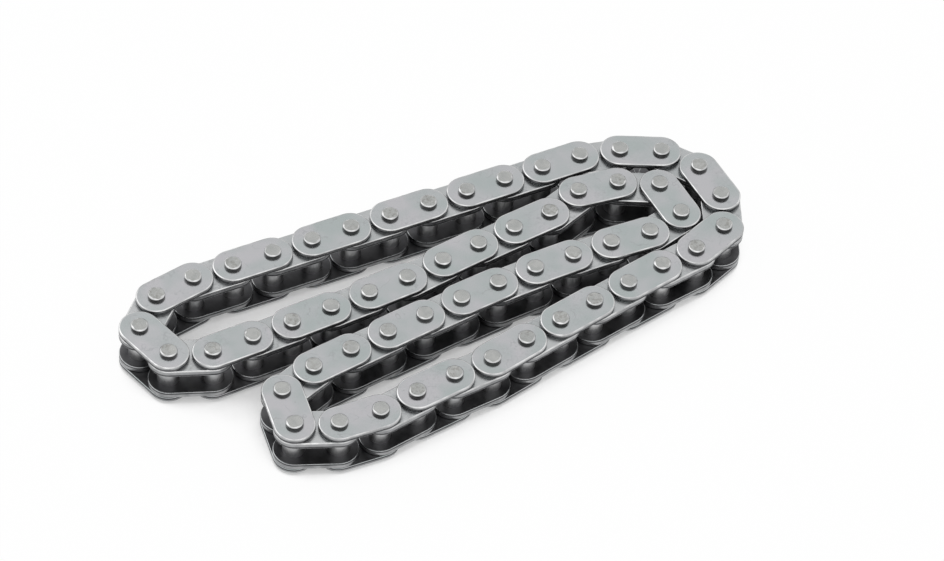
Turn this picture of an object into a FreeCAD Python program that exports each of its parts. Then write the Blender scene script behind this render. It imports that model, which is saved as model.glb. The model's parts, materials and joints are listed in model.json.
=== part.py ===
import FreeCAD, Part
import math
import os
import Sketcher

# Oil pump chain: an endless riveted bush chain of 3/8 inch pitch, lying on its side, folded in two.
# Outer links (two plates on two riveted pins) and inner links (two plates on two bushes) take turns.
# The pins stand upright. The origin is under the middle of the loop, on the surface it lies on,
# with +X along the rows of links and +Z up.

doc = FreeCAD.newDocument("oil_pump_chain")

# Driving sizes in millimetres: name, value, what it measures
driving_sizes = [
    ("pitch", 9.525, "between the centres of two neighbouring pins"),
    ("plate_end_gap", 0.475, "between the ends of two outer plates in line"),
    ("outer_plate_thickness", 1.2, "plate held by the rivets"),
    ("inner_plate_thickness", 1.6, "plate pressed onto the bushes"),
    ("inner_width", 5.5, "between the two inner plates, where a sprocket tooth runs"),
    ("side_clearance", 0.12, "between an inner plate and the outer plate beside it"),
    ("plate_rim_bevel", 0.22, "bevelled rim on the outward face of a punched plate"),
    ("pin_diameter", 3.6, "shank of the pin"),
    ("pin_running_clearance", 0.03, "all round the pin inside its bush"),
    ("rivet_height", 0.9, "pin end standing proud of its outer plate"),
    ("rivet_spread", 0.12, "swelling of the riveted end past its hole, on the radius"),
    ("rivet_bevel_width", 0.42, "bevel round the riveted end, on the radius"),
    ("rivet_bevel_height", 0.35, "bevel round the riveted end, along the pin"),
    ("bush_wall", 0.67, "thickness of the bush, which a sprocket tooth bears on"),
    ("bush_stand_out", 0.05, "bush end standing proud of its inner plate"),
]

sheet = doc.addObject("Spreadsheet::Sheet", "Sizes")
sheet.set("A1", "size")
sheet.set("B1", "mm")
sheet.set("C1", "what it measures")
for sheet_row, (alias, size, meaning) in enumerate(driving_sizes, start=2):
    sheet.set(f"A{sheet_row}", alias)
    sheet.set(f"B{sheet_row}", str(size))
    sheet.set(f"C{sheet_row}", meaning)
    sheet.setAlias(f"B{sheet_row}", alias)
doc.recompute()

# Radii that several pieces share, worked out from the driving sizes
plate_radius = "(Sizes.pitch - Sizes.plate_end_gap) / 2"
pin_radius = "Sizes.pin_diameter / 2"
rivet_radius = f"({pin_radius} + Sizes.rivet_spread)"
rivet_flat_radius = f"({rivet_radius} - Sizes.rivet_bevel_width)"
bush_bore_radius = f"({pin_radius} + Sizes.pin_running_clearance)"
bush_radius = f"({bush_bore_radius} + Sizes.bush_wall)"

# Heights in the stack of plates, from the surface up
outer_low = "Sizes.rivet_height"
inner_low = f"({outer_low} + Sizes.outer_plate_thickness + Sizes.side_clearance)"
inner_high = f"({inner_low} + 2 * Sizes.inner_plate_thickness + Sizes.inner_width)"
outer_high = f"({inner_high} + Sizes.side_clearance + Sizes.outer_plate_thickness)"
pin_length = f"({outer_high} + Sizes.rivet_height)"
bush_low = f"({inner_low} - Sizes.bush_stand_out)"
bush_length = f"({inner_high} - {inner_low} + 2 * Sizes.bush_stand_out)"


def value_of(expression):
    """Present value of an expression in the sheet's sizes."""
    return float(sheet.evalExpression(expression))


def make_body(name, plane_role):
    """A body with one sketch on one of its own origin planes."""
    body = doc.addObject("PartDesign::Body", name)
    sketch = body.newObject("Sketcher::SketchObject", f"{name}_sketch")
    plane = next(item for item in body.Origin.OriginFeatures if item.Role == plane_role)
    sketch.AttachmentSupport = [(plane, "")]
    sketch.MapMode = "FlatFace"
    return body, sketch


def bind(sketch, constraint, expression):
    """Add a sketch constraint whose value follows the sheet."""
    number = sketch.addConstraint(constraint)
    sketch.setExpression(f"Constraints[{number}]", expression)


# Sketcher counts the points of a line or an arc up from one, and its own axes down from minus one.
# The X axis starts at the sketch's origin.
start_point, end_point, centre_point = range(1, 4)
x_axis, y_axis = range(-1, -3, -1)


def make_plate(name, thickness, hole_radius):
    """Link plate: straight sides, round ends about the two pins, a hole at each end."""
    body, outline = make_body(name, "XY_Plane")
    pitch = value_of("Sizes.pitch")
    radius = value_of(plate_radius)
    hole = value_of(hole_radius)
    up = FreeCAD.Vector(0, 0, 1)
    first = FreeCAD.Vector(0, 0, 0)
    second = FreeCAD.Vector(pitch, 0, 0)
    side = FreeCAD.Vector(0, radius, 0)
    quarter = math.pi / 2
    front = outline.addGeometry(Part.LineSegment(first - side, second - side))
    far_end = outline.addGeometry(Part.ArcOfCircle(Part.Circle(second, up, radius), -quarter, quarter))
    back = outline.addGeometry(Part.LineSegment(second + side, first + side))
    near_end = outline.addGeometry(Part.ArcOfCircle(Part.Circle(first, up, radius), quarter, 3 * quarter))
    near_hole = outline.addGeometry(Part.Circle(first, up, hole))
    far_hole = outline.addGeometry(Part.Circle(second, up, hole))

    for piece, following in ((front, far_end), (far_end, back), (back, near_end), (near_end, front)):
        outline.addConstraint(Sketcher.Constraint("Tangent", piece, end_point, following, start_point))
    for centred, on, point in (
        (near_end, x_axis, start_point),
        (near_hole, near_end, centre_point),
        (far_hole, far_end, centre_point),
    ):
        outline.addConstraint(Sketcher.Constraint("Coincident", centred, centre_point, on, point))
    outline.addConstraint(Sketcher.Constraint("Horizontal", front))
    outline.addConstraint(Sketcher.Constraint("Equal", near_hole, far_hole))
    apart = Sketcher.Constraint("DistanceX", near_end, centre_point, far_end, centre_point, pitch)
    bind(outline, apart, "Sizes.pitch")
    bind(outline, Sketcher.Constraint("Radius", near_end, radius), plate_radius)
    bind(outline, Sketcher.Constraint("Radius", near_hole, hole), hole_radius)

    blank = body.newObject("PartDesign::Pad", f"{name}_blank")
    blank.Profile = outline
    blank.setExpression("Length", thickness)
    doc.recompute()

    rim = body.newObject("PartDesign::Chamfer", f"{name}_bevelled_rim")
    rim.Base = (blank, outline_edges_on_top(blank.Shape, radius))
    rim.setExpression("Size", "Sizes.plate_rim_bevel")
    body.Tip = rim
    return body


def outline_edges_on_top(shape, radius):
    """Names of the edges round the top face that belong to the outline, not to a hole."""
    near = 1e-6
    names = []
    for number, edge in enumerate(shape.Edges, start=1):
        on_top = edge.BoundBox.ZMin > shape.BoundBox.ZMax - near
        curve = edge.Curve
        in_hole = curve.TypeId == "Part::GeomCircle" and curve.Radius < radius - near
        if on_top and not in_hole:
            names.append(f"Edge{number}")
    return names


def make_turned(name, corners):
    """Turned piece: corners of its half profile as (radius, height), revolved about its axis."""
    body, profile = make_body(name, "XZ_Plane")
    points = [FreeCAD.Vector(value_of(radius), value_of(height), 0) for radius, height in corners]
    count = len(points)
    for index in range(count):
        profile.addGeometry(Part.LineSegment(points[index], points[(index + 1) % count]))
    for index in range(count):
        following = (index + 1) % count
        profile.addConstraint(Sketcher.Constraint("Coincident", index, end_point, following, start_point))
    for index, (radius, height) in enumerate(corners):
        for direction, axis, expression in (("X", y_axis, radius), ("Y", x_axis, height)):
            if expression == "0":
                held = Sketcher.Constraint("PointOnObject", index, start_point, axis)
                profile.addConstraint(held)
            else:
                ends = (x_axis, start_point, index, start_point)
                held = Sketcher.Constraint(f"Distance{direction}", *ends, value_of(expression))
                bind(profile, held, expression)
    turned = body.newObject("PartDesign::Revolution", f"{name}_turned")
    turned.Profile = profile
    turned.ReferenceAxis = (profile, ["V_Axis"])
    turned.Angle = 360
    body.Tip = turned
    return body


# Riveted end of a pin, from its flat face up to the seat under its swollen rim
rivet_profile = [
    ("0", "0"),
    (rivet_flat_radius, "0"),
    (rivet_radius, "Sizes.rivet_bevel_height"),
    (rivet_radius, "Sizes.rivet_height"),
    (pin_radius, "Sizes.rivet_height"),
]
upper_rivet_profile = [(radius, f"{pin_length} - {height}") for radius, height in reversed(rivet_profile)]
stub_top = "Sizes.rivet_height + Sizes.outer_plate_thickness"

outer_plate = make_plate("outer_plate", "Sizes.outer_plate_thickness", pin_radius)
inner_plate = make_plate("inner_plate", "Sizes.inner_plate_thickness", bush_radius)
pin = make_turned("pin", rivet_profile + upper_rivet_profile)
rivet_stub = make_turned("rivet_stub", rivet_profile + [(pin_radius, stub_top), ("0", stub_top)])
bush = make_turned("bush", [
    (bush_bore_radius, "0"),
    (bush_radius, "0"),
    (bush_radius, bush_length),
    (bush_bore_radius, bush_length),
])
doc.recompute()

upright = FreeCAD.Rotation()
upside_down = FreeCAD.Rotation(FreeCAD.Vector(1, 0, 0), 180)


def place_piece(body, name, along, height, rotation):
    """A copy of a piece in its link: its distance along the link and its height follow the sheet."""
    copy = doc.addObject("App::Link", name)
    copy.setLink(body)
    copy.Placement.Rotation = rotation
    copy.setExpression("Placement.Base.x", along)
    copy.setExpression("Placement.Base.z", height)
    return copy


def group(name, pieces):
    """Pieces of one link that are kept together, as separate solids."""
    kept = doc.addObject("Part::Compound", name)
    kept.Links = pieces
    return kept


# Pieces of each kind of link, with its near pin at the link's own origin and its far pin along +X
near_pin, far_pin = "0", "Sizes.pitch"
surface = "0"

# The bevelled rims face outwards, so the lower plate of each pair is turned upside down
outer_lower = place_piece(
    outer_plate, "outer_lower", near_pin, f"{outer_low} + Sizes.outer_plate_thickness", upside_down)
outer_upper = place_piece(
    outer_plate, "outer_upper", near_pin, f"{outer_high} - Sizes.outer_plate_thickness", upright)
pins = [
    place_piece(pin, "pin_near", near_pin, surface, upright),
    place_piece(pin, "pin_far", far_pin, surface, upright),
]
stubs = [
    place_piece(rivet_stub, "rivet_stub_low", far_pin, surface, upright),
    place_piece(rivet_stub, "rivet_stub_high", far_pin, pin_length, upside_down),
]
inner_lower = place_piece(
    inner_plate, "inner_lower", near_pin, f"{inner_low} + Sizes.inner_plate_thickness", upside_down)
inner_upper = place_piece(
    inner_plate, "inner_upper", near_pin, f"{inner_high} - Sizes.inner_plate_thickness", upright)
bushes = [
    place_piece(bush, "bush_near", near_pin, bush_low, upright),
    place_piece(bush, "bush_far", far_pin, bush_low, upright),
]

outer_link = group("outer_link", [outer_lower, outer_upper] + pins)
inner_link = group("inner_link", [inner_lower, inner_upper] + bushes)

# The loop is opened at one pivot: that pin keeps its two riveted ends and lacks its middle
opened_link = group("opened_link", [outer_lower, outer_upper, pins[0]] + stubs)

# The first link of each kind is kept piece by piece
outer_pieces = {
    "lower_plate": outer_lower,
    "upper_plate": outer_upper,
    "pins": group("both_pins", pins),
}
inner_pieces = {
    "lower_plate": inner_lower,
    "upper_plate": inner_upper,
    "bushes": group("both_bushes", bushes),
}
doc.recompute()


def row(links, first, last):
    """Headings of a row that bends evenly from its first link to its last."""
    return [first + (last - first) * index / (links - 1) for index in range(links)]


# The loop as it lies: the heading of each link in degrees, anticlockwise from +X.
# It starts at the middle of the inner bend, goes out along the upper arm and back along the lower.
inner_bend = [87.5, 149, 169, 196]
upper_inner_row = row(4, 182, 184.5) + row(5, 179.5, 177.5)
upper_tip = [155, 103, 40, 6]
back_row = row(10, -4.5, -4.5)
outer_bend_back = [-16, -29, -57, -90.5]
outer_bend_front = [-118, -163, -176]
front_row = row(5, -174, -172) + row(3, -179.5, -175) + [-187]
lower_tip = [-206, -283, -344]
lower_inner_row = row(4, -356.5, -357.5) + row(5, -358.5, -367) + [-350]
upper_arm = inner_bend + upper_inner_row + upper_tip + back_row + outer_bend_back
lower_arm = outer_bend_front + front_row + lower_tip + lower_inner_row

# The two arms meet at the pin whose pivot is left open
opened_pin = len(upper_arm)


def close_loop(headings):
    """Turn the links by the least amounts that bring the last one back to the first.

    The gap is the sum of all the link directions. A link that turns a little moves its end
    sideways, so each link turns by its share of the two corrections along X and Y.
    """
    angles = [math.radians(heading) for heading in headings]
    closed = 1e-12
    for _ in headings:
        gap_x = sum(math.cos(angle) for angle in angles)
        gap_y = sum(math.sin(angle) for angle in angles)
        if math.hypot(gap_x, gap_y) < closed:
            break
        xx = sum(math.sin(angle) ** 2 for angle in angles)
        yy = sum(math.cos(angle) ** 2 for angle in angles)
        xy = sum(math.sin(angle) * math.cos(angle) for angle in angles)
        share = xx * yy - xy * xy
        turn_x = (gap_x * yy + gap_y * xy) / share
        turn_y = (gap_y * xx + gap_x * xy) / share
        angles = [angle + turn_x * math.sin(angle) - turn_y * math.cos(angle) for angle in angles]
    return angles


def lay_out(angles, pitch):
    """Pin centres round the loop, with the middle of its outline at the origin."""
    x, y = 0.0, 0.0
    centres = []
    for angle in angles:
        centres.append((x, y))
        x += pitch * math.cos(angle)
        y += pitch * math.sin(angle)
    middle = [
        (min(place[axis] for place in centres) + max(place[axis] for place in centres)) / 2
        for axis in (0, 1)
    ]
    return [(place[0] - middle[0], place[1] - middle[1]) for place in centres]


angles = close_loop(upper_arm + lower_arm)
pin_centres = lay_out(angles, value_of("Sizes.pitch"))


def add_node(name, source, placement):
    """One node of the assembly: a link, or a piece of one, where it lies in the loop."""
    node = doc.addObject("App::Link", name)
    node.setLink(source)
    node.Label = name
    node.Placement = placement.multiply(source.Placement)
    return node


nodes = []
for index, (centre, angle) in enumerate(zip(pin_centres, angles)):
    heading = FreeCAD.Rotation(FreeCAD.Vector(0, 0, 1), math.degrees(angle))
    placement = FreeCAD.Placement(FreeCAD.Vector(centre[0], centre[1], 0), heading)
    number = index // 2 + 1
    outer = index % 2 == 0
    name = f"outer_link_{number:02d}" if outer else f"inner_link_{number:02d}"
    if number == 1:
        pieces = outer_pieces if outer else inner_pieces
        nodes += [add_node(f"{name}_{piece}", source, placement) for piece, source in pieces.items()]
    elif index + 1 == opened_pin:
        nodes.append(add_node(name, opened_link, placement))
    else:
        nodes.append(add_node(name, outer_link if outer else inner_link, placement))
doc.recompute()

for item in doc.Objects:
    if "Invalid" in item.State or "Error" in item.State:
        raise RuntimeError(f"{item.Label} failed: {item.State}")
for node in nodes:
    if node.Shape.isNull() or not node.Shape.isValid():
        raise RuntimeError(f"{node.Label} has no valid shape")

os.makedirs("parts", exist_ok=True)
for node in nodes:
    node.Shape.exportStep(f"parts/{node.Label}.step")
print(f"{len(nodes)} nodes, {sum(len(node.Shape.Solids) for node in nodes)} solids")
print(f"pins {len(pin_centres)}, the pivot at pin {opened_pin + 1} is open")
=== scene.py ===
import json
import math

import bpy
import numpy as np
from mathutils import Matrix, Vector


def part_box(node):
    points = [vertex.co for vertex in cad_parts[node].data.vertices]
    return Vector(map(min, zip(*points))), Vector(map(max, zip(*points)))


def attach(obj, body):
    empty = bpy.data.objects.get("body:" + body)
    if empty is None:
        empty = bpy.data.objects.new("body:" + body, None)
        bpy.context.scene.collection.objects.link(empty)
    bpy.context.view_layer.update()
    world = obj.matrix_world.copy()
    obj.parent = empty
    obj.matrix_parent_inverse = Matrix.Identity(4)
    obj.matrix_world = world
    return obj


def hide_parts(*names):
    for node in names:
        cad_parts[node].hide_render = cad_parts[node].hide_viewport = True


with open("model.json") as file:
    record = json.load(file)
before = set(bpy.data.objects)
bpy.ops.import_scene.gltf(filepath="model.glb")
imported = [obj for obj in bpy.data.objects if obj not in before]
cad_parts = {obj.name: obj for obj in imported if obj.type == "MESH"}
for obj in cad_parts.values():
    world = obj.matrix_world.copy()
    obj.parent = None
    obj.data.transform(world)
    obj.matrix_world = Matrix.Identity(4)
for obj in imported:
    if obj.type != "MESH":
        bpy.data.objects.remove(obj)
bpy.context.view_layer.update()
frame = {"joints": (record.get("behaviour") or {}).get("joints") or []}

millimetre = 0.001

chain = {
    "links": 56,
    "pitch": 9.525,  # millimetres, as all sizes of the pieces
    "plateWidth": 9.05,
    "openPin": 31,  # the loop is open here, at the far end of the link before; counted from nought
}


def linkName(index):
    # outer and inner links take turns round the loop, numbered in pairs
    kind = "outer" if index % 2 == 0 else "inner"
    return f"{kind}_link_{index // 2 + 1:02d}"


def pinCentres():
    # x and y of each pin in millimetres: a pivot's own place, and for the open pin, along x and
    # along y, the side of its link's box farther from the near pin, less the plate end's radius
    centres = np.zeros((chain["links"], 2))
    for joint in frame["joints"]:
        centres[int(joint["name"].split("_")[1]) - 1] = np.array(joint["pos_m"][:2]) / millimetre
    openPin = chain["openPin"]
    near = centres[openPin - 1]
    low, high = (np.array(corner)[:2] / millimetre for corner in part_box(linkName(openPin - 1)))
    endRadius = chain["plateWidth"] / 2
    goesUp = high - near > near - low
    centres[openPin] = np.where(goesUp, high - endRadius, low + endRadius)
    return centres


pins = pinCentres()
print("pins found:", len(pins))


def placed(vertices, index):
    # link coordinates to the frame: turned by the link's heading, moved to its near pin, and from
    # millimetres to metres
    near = pins[index]
    along = pins[(index + 1) % chain["links"]] - near
    along = along / np.linalg.norm(along)
    across = np.array([-along[1], along[0]])
    flat = near + vertices[:, :1] * along + vertices[:, 1:2] * across
    return np.column_stack([flat, vertices[:, 2]]) * millimetre


sharpAngle = 32  # degrees between two faces, above which their edge isn't smoothed


def makePiece(name, parts, index, steelNames, nodes):
    # parts are (vertices in link coordinates, faces, number of each face's steel). They become one
    # mesh, in which each part's corners count on from the last part's.
    vertices, faces, finish, count = [], [], [], 0
    for partVertices, partFaces, partFinish in parts:
        vertices.append(placed(partVertices, index))
        faces += [[corner + count for corner in face] for face in partFaces]
        finish.append(partFinish)
        count += len(partVertices)
    mesh = bpy.data.meshes.new(name)
    mesh.from_pydata(np.concatenate(vertices), [], faces)
    mesh.shade_smooth()
    mesh.set_sharp_from_angle(angle=math.radians(sharpAngle))
    for steelName in steelNames:
        mesh.materials.append(steels[steelName])
    mesh.polygons.foreach_set("material_index", np.concatenate(finish).astype(np.int32))
    mesh.update()
    piece = bpy.data.objects.new(name, mesh)
    bpy.context.collection.objects.link(piece)
    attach(piece, linkName(index))
    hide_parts(*nodes)


def gridFaces(rows, columns, closedRows=False):
    # the quads of a grid, by corner number row * columns + column. The last column joins the first,
    # and the last row may join the first too.
    strips = rows if closedRows else rows - 1
    row, column = np.meshgrid(np.arange(strips), np.arange(columns), indexing="ij")
    nextRow, nextColumn = (row + 1) % rows, (column + 1) % columns
    corners = [
        row * columns + column,
        row * columns + nextColumn,
        nextRow * columns + nextColumn,
        nextRow * columns + column,
    ]
    return np.stack(corners, axis=-1)


outerPlate = {
    "thickness": 1.2,
    "hole": 1.8,  # radius, filled by the pin
    "rollWidth": 0.3,  # the punch draws the edge down over this width
    "rollHeight": 0.22,
    "burrRim": 0.13,  # rounding of the other side's edge
    "tornShare": 0.5,  # share of the wall where the steel tore; above it the punch rubbed it smooth
    "levels": (0.9, 11.04),  # undersides of the lower and the upper plate
}
innerPlate = {
    "thickness": 1.6,
    "hole": 2.5,  # radius, filled by the bush
    "rollWidth": 0.28,
    "rollHeight": 0.22,
    "burrRim": 0.14,
    "tornShare": 0.35,
    "levels": (2.22, 9.32),
}
plateGrid = {
    "endSteps": 22,
    "quarterSteps": 6,
    "burrSteps": 2,
    "rollSteps": 5,
    "sideShare": 0.44,  # share of the pitch that each quarter's part of the straight side covers
    "support": 0.03,  # narrow ring that keeps the flat face flat in shading
}


def outlineHalf(radius, hole, inner):
    # lower side and far end of the plate: a straight side at minus radius, then half a circle.
    # The inner curve follows the near hole's quarter, crosses to the far hole and follows that.
    pitch = chain["pitch"]
    sideLength = plateGrid["sideShare"] * pitch
    quarter = np.linspace(0, 1, plateGrid["quarterSteps"] + 1)
    turn = quarter * math.pi / 2
    end = np.linspace(-0.5, 0.5, plateGrid["endSteps"] + 1)[:-1] * math.pi
    reach = hole if inner else radius
    farEnd = np.column_stack([pitch + reach * np.cos(end), reach * np.sin(end)])
    if inner:
        nearQuarter = np.column_stack([hole * np.sin(turn), -hole * np.cos(turn)])
        farQuarter = np.column_stack([pitch - hole * np.cos(turn), -hole * np.sin(turn)])[:-1]
    else:
        side = np.full_like(quarter, -radius)
        nearQuarter = np.column_stack([sideLength * quarter, side])
        farQuarter = np.column_stack([pitch - sideLength * (1 - quarter), side])[:-1]
    return np.concatenate([nearQuarter, farQuarter, farEnd])


def outline(inset, hole, inner):
    # the second half is the first turned by half a turn about the middle of the plate
    half = outlineHalf(chain["plateWidth"] / 2 - inset, hole, inner)
    return np.concatenate([half, np.array([chain["pitch"], 0]) - half])


def plateShape(sizes):
    # profile carried round the outline: from the hole along the underside, round the burr rim, up
    # the wall's torn and smooth parts, over the drawn rim (a quarter of an ellipse) and back along
    # the top to the hole
    thickness, burr = sizes["thickness"], sizes["burrRim"]
    width, height = sizes["rollWidth"], sizes["rollHeight"]
    support = plateGrid["support"]
    bend = np.linspace(0, 1, plateGrid["burrSteps"] + 1) * math.pi / 2
    roll = np.linspace(0, 1, plateGrid["rollSteps"] + 1) * math.pi / 2
    tornTop = burr + sizes["tornShare"] * (thickness - height - burr)
    burrInsets, burrHeights = burr * (1 - np.sin(bend)), burr * (1 - np.cos(bend))
    rollInsets, rollHeights = width * (1 - np.cos(roll)), thickness - height + height * np.sin(roll)
    insets = np.concatenate([[burr + support], burrInsets, [0], rollInsets, [width + support]])
    heights = np.concatenate([[0], burrHeights, [tornTop], rollHeights, [thickness]])
    rings = [(outline(0, sizes["hole"], True), 0)]
    rings += [(outline(inset, sizes["hole"], False), z) for inset, z in zip(insets, heights)]
    rings += [(outline(0, sizes["hole"], True), thickness)]
    columns = len(rings[0][0])
    vertices = np.concatenate([np.column_stack([flat, np.full(columns, z)]) for flat, z in rings])
    faces = gridFaces(len(rings), columns, closedRows=True)
    # the inner curve's two crossings lie on each other: they share their corners and have no wall
    crossing = plateGrid["quarterSteps"]
    half = columns // 2
    wall = faces[-1]
    keep = np.ones(columns, bool)
    keep[[crossing, half + crossing]] = False
    quads = np.concatenate([faces[:-1].reshape(-1, 4), wall[keep]])
    # steels, counted as in wallSteels after the plate's own: the wall lies between the burr rim and
    # the drawn rim, and the face on the burr's side looks into the chain, as the holes' walls do
    wallStrip = len(bend) + 1
    rimStrip = wallStrip + 2
    stripFinish = np.zeros(len(rings))
    # the torn and the smooth part of the wall take steels darkened as painted shade
    stripFinish[wallStrip:rimStrip] = 1, 2
    # the underside and the holes' walls take a near-black steel as painted shade between the plates
    stripFinish[[0, 1, -1]] = 3
    # the drawn rim takes a lighter steel as a painted highlight
    stripFinish[rimStrip:rimStrip + plateGrid["rollSteps"]] = 4
    finish = np.repeat(stripFinish, columns)[:len(quads)]
    shared = np.arange(len(vertices))
    for ring in (0, len(rings) - 1):
        shared[ring * columns + half + crossing + 1] = ring * columns + crossing
        shared[ring * columns + half + crossing] = ring * columns + crossing + 1
    quads = shared[quads]
    used, quads = np.unique(quads, return_inverse=True)
    return vertices[used], quads.reshape(-1, 4).tolist(), finish


def turnedOver(shape, thickness):
    # half a turn about the link's own length: the drawn rim faces down
    vertices, faces, finish = shape
    return vertices * [1, -1, -1] + [0, 0, thickness], faces, finish


def moved(shape, along, up):
    # shifted along the link and up
    vertices, faces, finish = shape
    return vertices + [along, 0, up], faces, finish


def platePair(sizes):
    # the same plate twice, the lower one turned over, each on its own level
    shape = plateShape(sizes)
    low, high = sizes["levels"]
    return [moved(turnedOver(shape, sizes["thickness"]), 0, low), moved(shape, 0, high)]


pinSizes = {
    "radius": 1.8,
    "height": 13.14,
    "rivetHeight": 0.9,
    "rivetRadius": 1.92,
    "bevelWidth": 0.29,
    "bevelHeight": 0.17,
    # shares of the bevel's width and height, from the flat end to the rim: a cone with soft edges
    "bevelCurve": ((0, 0), (0.15, 0.08), (0.85, 0.78), (1, 1.15)),
    "hollow": ((0.25, 0.03), (0.978, 0.018), (1.51, 0.004)),  # radius and depth in the flat end
    "footHeight": 0.12,  # over the plate the rim draws in
    "footStep": 0.02,
    # how each riveted end is out of round: lobes round it, share of its radius, and how far down
    "waves": (((2, 3, 5), 0.03, 0.9), ((4, 5, 6, 7), 0.07, 0.16)),
    "steps": 40,
    "stubEnd": 2.1,  # at the open pivot the pin stops inside its outer plate
}
bushSizes = {
    "bore": 1.83,
    "radius": 2.5,
    "low": 2.17,
    "high": 10.97,
    "edge": 0.12,
    "steps": 36,
}


def turned(profile, steps, capped, strips):
    # profile of (radius, height) from the lower end up, carried round the axis; ends closed by a
    # disc. strips has the number of the steel of each strip between two profile points.
    angle = np.arange(steps) * 2 * math.pi / steps
    radius, height = profile[:, 0][:, None], profile[:, 1][:, None]
    x, y, z = radius * np.cos(angle), radius * np.sin(angle), height + 0 * angle
    vertices = np.stack([x, y, z], axis=-1).reshape(-1, 3)
    faces = gridFaces(len(profile), steps, closedRows=not capped).reshape(-1, 4).tolist()
    finish = np.repeat(strips, steps)
    if capped:
        last = (len(profile) - 1) * steps
        faces += [list(range(steps))[::-1], list(range(last, last + steps))]
        finish = np.concatenate([finish, [0, 0]])
    return vertices, faces, finish


def rivetProfile():
    # (radius, height) from the hollow of the flat end outwards, over the hammered bevel, down the
    # rim and in to the shank, and each strip's steel: nought on the flat end, then bevel and rim
    sizes = pinSizes
    radius, height = sizes["rivetRadius"], sizes["rivetHeight"]
    flat = radius - sizes["bevelWidth"]
    hollow = np.array(sizes["hollow"])
    bevel = np.array(sizes["bevelCurve"]) * [sizes["bevelWidth"], sizes["bevelHeight"]] + [flat, 0]
    rim = np.array([
        [radius, height - sizes["footHeight"]],
        [radius - sizes["footStep"], height],
        [sizes["radius"], height],
    ])
    # the bevel's steel is lighter, a painted highlight
    # the rim's steel is near-black, painted shade
    strips = [0] * len(hollow) + [1] * (len(bevel) - 1) + [2] * len(rim)
    return np.concatenate([hollow, bevel, rim]), strips


def slowWaves(angle, lobes, random):
    # sum of waves round the pin, each with its own height and start, lower where it has more lobes
    heights = random.uniform(-1, 1, len(lobes)) * lobes[0] / lobes
    starts = random.uniform(0, 2 * math.pi, len(lobes))
    return (heights * np.cos(angle[:, None] * lobes + starts)).sum(axis=1)


def unevenRims(shape, seed):
    # radius of the riveted ends times one plus two sums of waves: a slow one that fades out down the
    # rivet, and one with more lobes on the flat end alone, as the hammer leaves its edge
    vertices, faces, finish = shape
    random = np.random.default_rng(seed)
    angle = np.arctan2(vertices[:, 1], vertices[:, 0])
    middle = pinSizes["height"] / 2
    fromEnd = middle - np.abs(vertices[:, 2] - middle)
    factor = np.ones(len(vertices))
    for lobes, amount, depth in pinSizes["waves"]:
        share = np.clip(1 - fromEnd / depth, 0, 1)
        factor += amount * slowWaves(angle, np.array(lobes), random) * share
    return vertices * np.column_stack([factor, factor, np.ones(len(vertices))]), faces, finish


def pinParts(index):
    # two pins of an outer link, each a turned profile with the same rivet at both ends; the open
    # pivot's pin is two stubs
    steps, turnOver, up = pinSizes["steps"], [1, -1], [0, pinSizes["height"]]
    low, strips = rivetProfile()
    high, highStrips = low[::-1] * turnOver + up, strips[::-1]
    whole = turned(np.concatenate([low, high]), steps, True, [*strips, 0, *highStrips])
    lowEnd = np.array([[pinSizes["radius"], pinSizes["stubEnd"]]])
    highEnd = lowEnd * turnOver + up
    lowStub = turned(np.concatenate([low, lowEnd]), steps, True, [*strips, 0])
    highStub = turned(np.concatenate([highEnd, high]), steps, True, [0, *highStrips])
    farPin = [lowStub, highStub] if index + 1 == chain["openPin"] else [whole]
    farPin = [moved(unevenRims(part, index + 1), chain["pitch"], 0) for part in farPin]
    return [unevenRims(whole, index), *farPin]


def bushParts():
    # a tube with small rounded edges, at the near pin and at the far pin
    sizes = bushSizes
    bore, radius, edge = sizes["bore"], sizes["radius"], sizes["edge"]
    low, high = sizes["low"], sizes["high"]
    profile = np.array([
        [bore, low], [radius - edge, low], [radius, low + edge],
        [radius, high - edge], [radius - edge, high], [bore, high],
    ])
    bush = turned(profile, sizes["steps"], False, np.zeros(len(profile)))
    return [bush, moved(bush, chain["pitch"], 0)]


def newMaterial(name):
    # a node material, with its tree, its shader and the place on the object
    material = bpy.data.materials.new(name)
    material.use_nodes = True
    tree = material.node_tree
    shader = tree.nodes["Principled BSDF"]
    place = tree.nodes.new("ShaderNodeTexCoord").outputs["Object"]
    return material, tree, shader, place


def noise(tree, place, scale, detail):
    # cloudy pattern round 0.5; a scale of 1000 has spots about a millimetre across
    texture = tree.nodes.new("ShaderNodeTexNoise")
    texture.inputs["Scale"].default_value = scale
    texture.inputs["Detail"].default_value = detail
    tree.links.new(place, texture.inputs["Vector"])
    return texture.outputs["Fac"]


def spread(tree, value, low, high, lowest, highest):
    # straight line from (low, lowest) to (high, highest), held at both ends
    line = tree.nodes.new("ShaderNodeMapRange")
    ends = {"From Min": low, "From Max": high, "To Min": lowest, "To Max": highest}
    for socket, number in ends.items():
        line.inputs[socket].default_value = number
    tree.links.new(value, line.inputs["Value"])
    return line.outputs["Result"]


def maths(tree, operation, *values):
    # one sum, product or other operation on the outputs of other nodes
    node = tree.nodes.new("ShaderNodeMath")
    node.operation = operation
    for value, socket in zip(values, node.inputs):
        tree.links.new(value, socket)
    return node.outputs[0]


def blendColours(tree, share, first, second):
    # first where share is nought, second where it is one; first may come from another node
    mix = tree.nodes.new("ShaderNodeMix")
    mix.data_type = "RGBA"
    if isinstance(first, tuple):
        mix.inputs["A"].default_value = (*first, 1)
    else:
        tree.links.new(first, mix.inputs["A"])
    mix.inputs["B"].default_value = (*second, 1)
    tree.links.new(share, mix.inputs["Factor"])
    return mix.outputs["Result"]


def bump(tree, height, strength, distance, before=None):
    # normal of a surface raised by height times distance, on top of the bump before it
    node = tree.nodes.new("ShaderNodeBump")
    node.inputs["Strength"].default_value = strength
    node.inputs["Distance"].default_value = distance
    tree.links.new(height, node.inputs["Height"])
    if before:
        tree.links.new(before, node.inputs["Normal"])
    return node.outputs["Normal"]


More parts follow.
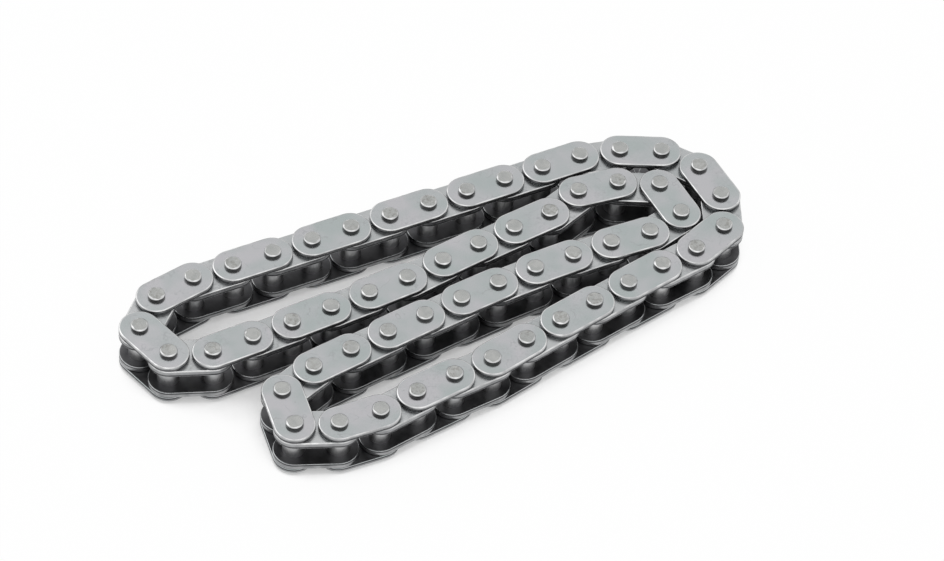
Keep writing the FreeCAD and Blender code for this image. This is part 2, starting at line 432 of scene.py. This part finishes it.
steelPatterns = {
    # pairs are the noise values where a pattern begins and where it is full
    "clouds": (0.35, 0.65),
    "patches": (0.3, 0.7),
    "patchScale": 0.35,  # times the scale of the marks
    "spotDots": (0.45, 0.66),
    "spotPlaces": (0.5, 0.6),
    "scuffScale": 210,
    "scuffWidth": 0.014,  # in noise value, to each side of the middle
    "scuffPlaceScale": 330,
    "scuffPlaces": (0.52, 0.6),
    "grainScale": 3.2,  # grain against marks: scale, strength and depth
    "grainStrength": 0.5,
    "grainDepth": 0.4,
}


def tumbledSteel(name, finish):
    # satin steel: two tints in slow clouds, roughness in smaller ones, fine tumbling marks as bump.
    # Dark spots: a fine noise above a level, times a slow noise above a level, so only in places.
    # Scuffs: thin lines where a noise crosses its middle value, in places a second noise picks.
    patterns, markScale = steelPatterns, finish["markScale"]
    material, tree, shader, place = newMaterial(name)
    share = spread(tree, noise(tree, place, finish["cloudScale"], 2), *patterns["clouds"], 0, 1)
    tint = blendColours(tree, share, finish["tintOne"], finish["tintTwo"])
    if "spots" in finish:
        dots = spread(tree, noise(tree, place, markScale, 3), *patterns["spotDots"], 0, 1)
        places = noise(tree, place, finish["spotPlaces"], 1)
        picked = spread(tree, places, *patterns["spotPlaces"], 0, finish["spots"])
        tint = blendColours(tree, maths(tree, "MULTIPLY", dots, picked), tint, finish["spotTint"])
    if "scuffs" in finish:
        wander = spread(tree, noise(tree, place, patterns["scuffScale"], 3), 0, 1, -0.5, 0.5)
        fromMiddle = maths(tree, "ABSOLUTE", wander)
        line = spread(tree, fromMiddle, 0, patterns["scuffWidth"], finish["scuffs"], 0)
        places = noise(tree, place, patterns["scuffPlaceScale"], 1)
        picked = spread(tree, places, *patterns["scuffPlaces"], 0, 1)
        tint = blendColours(tree, maths(tree, "MULTIPLY", line, picked), tint, finish["spotTint"])
    tree.links.new(tint, shader.inputs["Base Color"])
    patches = noise(tree, place, markScale * patterns["patchScale"], 3)
    rough = spread(tree, patches, *patterns["patches"], *finish["roughness"])
    tree.links.new(rough, shader.inputs["Roughness"])
    strength, depth = finish["markStrength"], finish["markDepth"]
    marks = bump(tree, noise(tree, place, markScale, 3), strength, depth)
    grain = noise(tree, place, markScale * patterns["grainScale"], 2)
    grainStrength, grainDepth = strength * patterns["grainStrength"], depth * patterns["grainDepth"]
    tree.links.new(bump(tree, grain, grainStrength, grainDepth, marks), shader.inputs["Normal"])
    shader.inputs["Metallic"].default_value = 1
    return material


# cloudScale, markScale and spotPlaces are noise scales, markDepth is in metres, and spots and
# scuffs are the most that the spots' tint covers
finishes = {
    "outerPlate": {
        "tintOne": (0.445, 0.485, 0.483),
        "tintTwo": (0.535, 0.532, 0.55),
        "cloudScale": 130,
        "scuffs": 0.5,
        "roughness": (0.17, 0.26),
        "markScale": 1500,
        "markStrength": 0.2,
        "markDepth": 0.00002,
        "spots": 0.2,
        "spotPlaces": 90,
        "spotTint": (0.36, 0.37, 0.38),
    },
    "innerPlate": {
        "tintOne": (0.44, 0.46, 0.465),
        "tintTwo": (0.54, 0.55, 0.555),
        "cloudScale": 150,
        "scuffs": 0.5,
        "roughness": (0.22, 0.34),
        "markScale": 1500,
        "markStrength": 0.3,
        "markDepth": 0.00002,
        "spots": 0.5,
        "spotPlaces": 120,
        "spotTint": (0.3, 0.3, 0.31),
    },
    # the drawn rim, lighter than the plate's face: a painted highlight along the edge
    "drawnRimPaintedHighlight": {
        "tintOne": (0.52, 0.525, 0.53),
        "tintTwo": (0.85, 0.85, 0.85),
        "cloudScale": 350,
        "roughness": (0.14, 0.26),
        "markScale": 2600,
        "markStrength": 0.2,
        "markDepth": 0.00002,
    },
    # the smooth part of the wall, darker than the plate's face as painted shade
    "smoothWallPaintedShade": {
        "tintOne": (0.26, 0.265, 0.27),
        "tintTwo": (0.39, 0.395, 0.40),
        "cloudScale": 400,
        "roughness": (0.3, 0.42),
        "markScale": 2600,
        "markStrength": 0.3,
        "markDepth": 0.00002,
    },
    # the torn part of the wall: rougher, as the real fracture is, and near-black as painted shade in
    # the crevice between the plates
    "tornWallPaintedShade": {
        "tintOne": (0.07, 0.07, 0.075),
        "tintTwo": (0.13, 0.13, 0.135),
        "cloudScale": 400,
        "roughness": (0.5, 0.7),
        "markScale": 2600,
        "markStrength": 0.6,
        "markDepth": 0.00004,
    },
    # faces that look into the chain and the holes' walls: near-black, painted shade between the
    # plates
    "insideFacePaintedShade": {
        "tintOne": (0.10, 0.10, 0.105),
        "tintTwo": (0.16, 0.16, 0.165),
        "cloudScale": 200,
        "roughness": (0.34, 0.5),
        "markScale": 2000,
        "markStrength": 0.4,
        "markDepth": 0.00002,
    },
    "pin": {
        "tintOne": (0.42, 0.43, 0.422),
        "tintTwo": (0.49, 0.495, 0.483),
        "cloudScale": 500,
        "roughness": (0.18, 0.32),
        "markScale": 1500,
        "markStrength": 0.4,
        "markDepth": 0.00003,
        "spots": 0.5,
        "spotPlaces": 70,
        "spotTint": (0.22, 0.21, 0.19),
    },
    # the rivet's bevel, lighter than the flat end: a painted highlight, the bright crescent
    "pinBevelPaintedHighlight": {
        "tintOne": (0.60, 0.605, 0.61),
        "tintTwo": (0.74, 0.74, 0.74),
        "cloudScale": 700,
        "roughness": (0.14, 0.24),
        "markScale": 1500,
        "markStrength": 0.3,
        "markDepth": 0.00002,
    },
    # the rivet's rim below the bevel: near-black, painted shade
    "pinRimPaintedShade": {
        "tintOne": (0.05, 0.05, 0.05),
        "tintTwo": (0.10, 0.10, 0.10),
        "cloudScale": 500,
        "roughness": (0.2, 0.3),
        "markScale": 2600,
        "markStrength": 0.3,
        "markDepth": 0.00002,
    },
    "bush": {
        "tintOne": (0.51, 0.515, 0.52),
        "tintTwo": (0.60, 0.60, 0.60),
        "cloudScale": 200,
        "roughness": (0.3, 0.4),
        "markScale": 1500,
        "markStrength": 0.12,
        "markDepth": 0.00002,
    },
}
steels = {name: tumbledSteel(name + "Steel", finish) for name, finish in finishes.items()}

outerPlates = platePair(outerPlate)
innerPlates = platePair(innerPlate)
bushPair = bushParts()
wallSteels = ("tornWallPaintedShade", "smoothWallPaintedShade", "insideFacePaintedShade", "drawnRimPaintedHighlight")
pinSteels = ("pin", "pinBevelPaintedHighlight", "pinRimPaintedShade")


def nodesOf(index, kinds):
    # names of the frame's nodes: the first link of each kind is kept piece by piece there
    name = linkName(index)
    return [f"{name}_{kind}" for kind in kinds] if index < 2 else [name]


for index in range(chain["links"]):
    number = f"{index // 2 + 1:02d}"
    plateNodes = nodesOf(index, ("lower_plate", "upper_plate"))
    if index % 2 == 0:
        steelNames, pinNodes = ("outerPlate", *wallSteels), nodesOf(index, ("pins",))
        makePiece("outerPlates" + number, outerPlates, index, steelNames, plateNodes)
        makePiece("pins" + number, pinParts(index), index, pinSteels, pinNodes)
    else:
        steelNames, bushNodes = ("innerPlate", *wallSteels), nodesOf(index, ("bushes",))
        makePiece("innerPlates" + number, innerPlates, index, steelNames, plateNodes)
        makePiece("bushes" + number, bushPair, index, ("bush",), bushNodes)
print("links dressed:", chain["links"])

floorSettings = {
    "halfSide": 3.0,  # metres
    "colour": 0.97,
    "roughness": 0.9,
    "reach": 0.03,  # metres, pieces farther away don't close the floor in
    "openness": (0.42, 0.6),  # share of the sky that the floor sees, from closed in to open
    "skySamples": 16,
    "cameraGlow": (0.3, 0.96),  # share of plain white that the camera sees in it, closed in and open
    "metalGlow": (0.06, 0.9),  # and the share that the steel mirrors
}


def whiteFloor(settings):
    # a large square at height nought, whose surface is a mix of matt white and a plain white glow:
    # the glow's share grows with the openness, for camera rays and for rays that steel mirrors
    side = settings["halfSide"]
    corners = np.array([[-side, -side, 0], [side, -side, 0], [side, side, 0], [-side, side, 0]])
    mesh = bpy.data.meshes.new("floor")
    mesh.from_pydata(corners, [], [[0, 1, 2, 3]])
    material, tree, shader, _ = newMaterial("whiteTable")
    shader.inputs["Base Color"].default_value = (settings["colour"],) * 3 + (1,)
    shader.inputs["Roughness"].default_value = settings["roughness"]
    # how open the floor is at a point: the share of sky left free by the chain, in any pose
    sky = tree.nodes.new("ShaderNodeAmbientOcclusion")
    sky.samples = settings["skySamples"]
    sky.inputs["Distance"].default_value = settings["reach"]
    glow = tree.nodes.new("ShaderNodeEmission")
    glow.inputs["Strength"].default_value = 1
    rays = tree.nodes.new("ShaderNodeLightPath")
    shares = []
    for ray, glows in (("Is Camera Ray", "cameraGlow"), ("Is Glossy Ray", "metalGlow")):
        share = spread(tree, sky.outputs["AO"], *settings["openness"], *settings[glows])
        shares.append(maths(tree, "MULTIPLY", rays.outputs[ray], share))
    mix = tree.nodes.new("ShaderNodeMixShader")
    tree.links.new(maths(tree, "ADD", *shares), mix.inputs["Fac"])
    tree.links.new(shader.outputs["BSDF"], mix.inputs[1])
    tree.links.new(glow.outputs["Emission"], mix.inputs[2])
    tree.links.new(mix.outputs["Shader"], tree.nodes["Material Output"].inputs["Surface"])
    mesh.materials.append(material)
    floor = bpy.data.objects.new("floor", mesh)
    bpy.context.collection.objects.link(floor)


def studioWorld(settings):
    # a dim dome with one large bright field overhead: the strength grows with the cosine of the
    # angle between a direction and the field's middle
    world = bpy.data.worlds.new("studio")
    world.use_nodes = True
    tree = world.node_tree
    background = tree.nodes["Background"]
    background.inputs["Color"].default_value = (1, 1, 1, 1)
    along = tree.nodes.new("ShaderNodeVectorMath")
    along.operation = "DOT_PRODUCT"
    along.inputs[1].default_value = settings["middle"]
    tree.links.new(tree.nodes.new("ShaderNodeTexCoord").outputs["Generated"], along.inputs[0])
    strength = spread(tree, along.outputs["Value"], *settings["cosines"], *settings["strengths"])
    tree.links.new(strength, background.inputs["Strength"])
    bpy.context.scene.world = world


def softbox(name, place, size, power):
    # a square lamp that looks from its place at the middle of the chain
    data = bpy.data.lights.new(name, "AREA")
    data.size = size
    data.energy = power
    lamp = bpy.data.objects.new(name, data)
    lamp.location = place
    lamp.rotation_mode = "QUATERNION"
    lamp.rotation_quaternion = Vector(place).to_track_quat("Z", "Y")
    bpy.context.collection.objects.link(lamp)


dome = {
    "middle": (0.0, 0.0, 1.0),
    "cosines": (0.36, 0.58),  # the field's edge, 21 to 35 degrees above the horizon
    "strengths": (0.55, 0.9),
}
lamps = {
    # place and side in metres, power in watts
    "back": ((-0.35, 0.75, 0.85), 0.9, 1.5),
    "top": ((-0.17, -0.26, 0.95), 0.7, 0.5),
}

whiteFloor(floorSettings)
studioWorld(dome)
for name, (place, size, power) in lamps.items():
    softbox(name, place, size, power)

cameraSettings = {
    "azimuth": -124.397,  # direction from the target to the camera, anticlockwise from +X
    "elevation": 49.025,
    "roll": 5.357,
    "distance": 816.64,  # millimetres
    "target": (6.494, 0.945, 6.57),  # millimetres
    "lens": 140.074,
    "sensor": 36,
    "clip": (0.01, 20),  # metres
}


def makeCamera(settings):
    # stands at target + distance * back, where back is the unit vector of azimuth and elevation, and
    # is rolled about it
    turn, lift, roll = (math.radians(settings[key]) for key in ("azimuth", "elevation", "roll"))
    back = Vector((math.cos(turn) * math.cos(lift), math.sin(turn) * math.cos(lift), math.sin(lift)))
    level = Vector((0, 0, 1)).cross(back).normalized()
    upright = back.cross(level)
    right = math.cos(roll) * level + math.sin(roll) * upright
    up = math.cos(roll) * upright - math.sin(roll) * level
    place = (Vector(settings["target"]) + settings["distance"] * back) * millimetre
    data = bpy.data.cameras.new("camera")
    data.lens = settings["lens"]
    data.sensor_width = settings["sensor"]
    data.clip_start, data.clip_end = settings["clip"]
    camera = bpy.data.objects.new("camera", data)
    turnMatrix = Matrix((right, up, back)).transposed().to_4x4()
    camera.matrix_world = Matrix.Translation(place) @ turnMatrix
    bpy.context.collection.objects.link(camera)
    bpy.context.scene.camera = camera


makeCamera(cameraSettings)
bpy.context.scene.view_settings.view_transform = "Standard"
print("studio ready")
